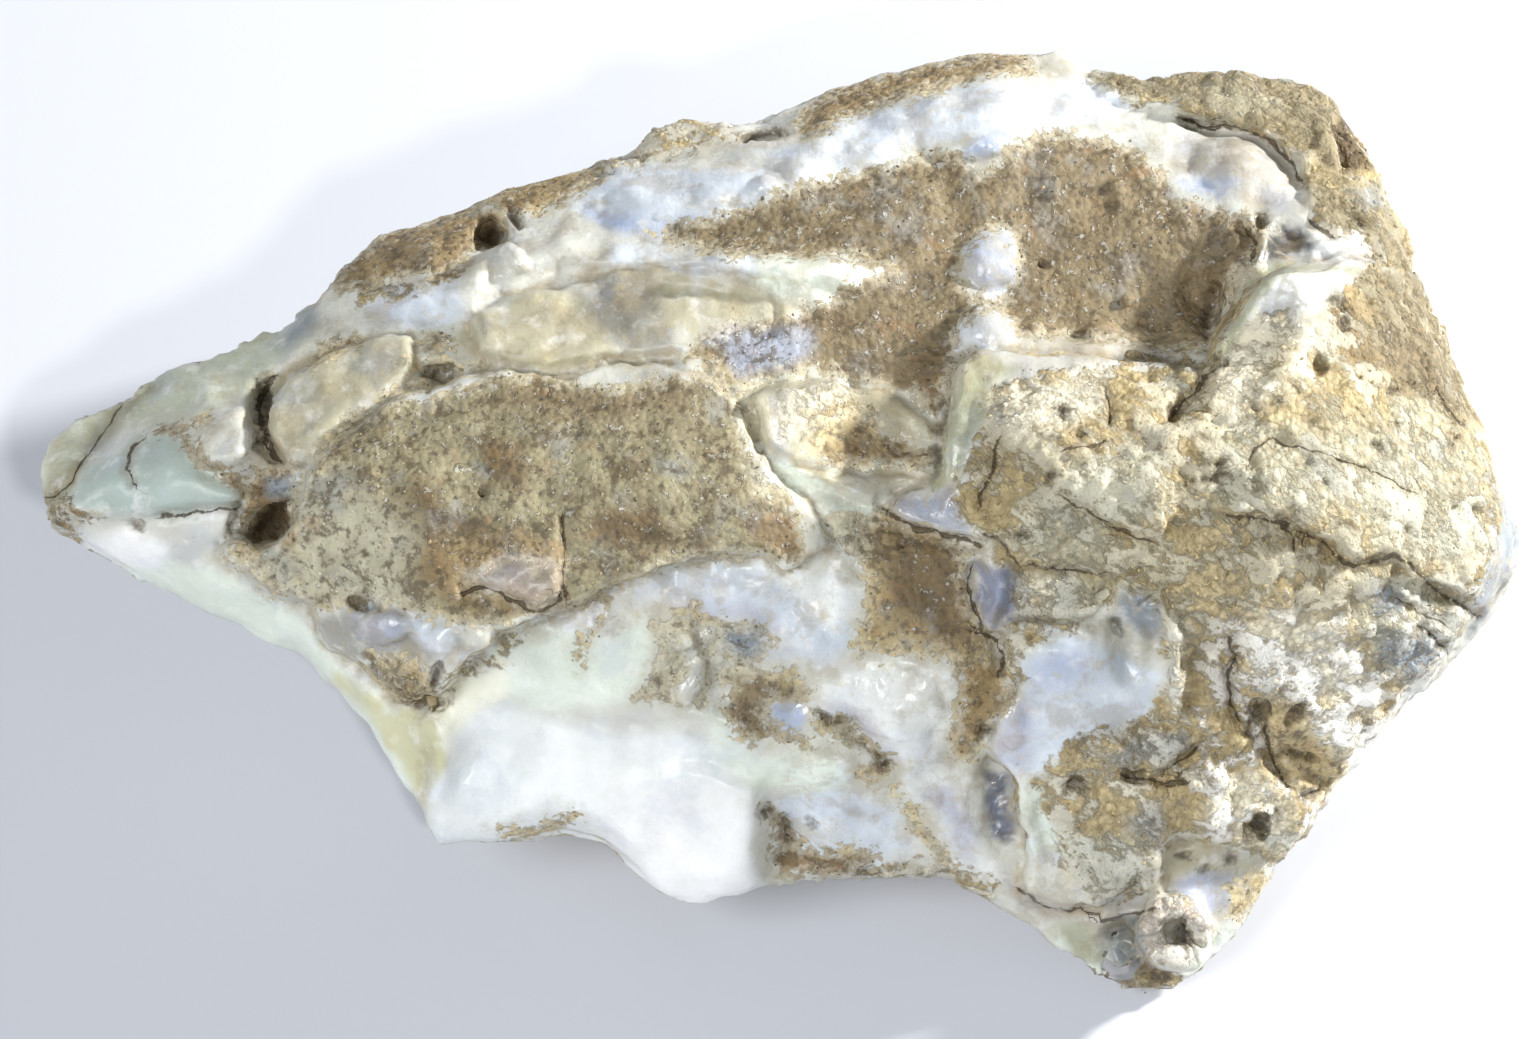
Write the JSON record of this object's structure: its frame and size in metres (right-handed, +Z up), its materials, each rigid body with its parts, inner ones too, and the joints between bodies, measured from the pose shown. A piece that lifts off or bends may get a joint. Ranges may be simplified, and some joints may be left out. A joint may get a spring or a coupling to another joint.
{
  "type": "rough opal stone",
  "caption": "Broken, weathered piece of rough opal: pale blue-white opal under sandy brown plates, long and pointed at one end, with a flat face to rest on.",
  "frame": {"origin": "bottom centre of the stone's bounding box, on the table", "axes": "+Z up from the resting face, +X along the length away from the pointed end, -Y towards the low side that shows the white opal"},
  "size_m": [0.0744, 0.0454, 0.0251],
  "materials": {
    "weathered_opal": "rough sandy crust with smooth, slightly glossy opal between"
  },
  "bodies": {
    "root": {"rough_opal": "weathered_opal"}
  },
  "joints": []
}
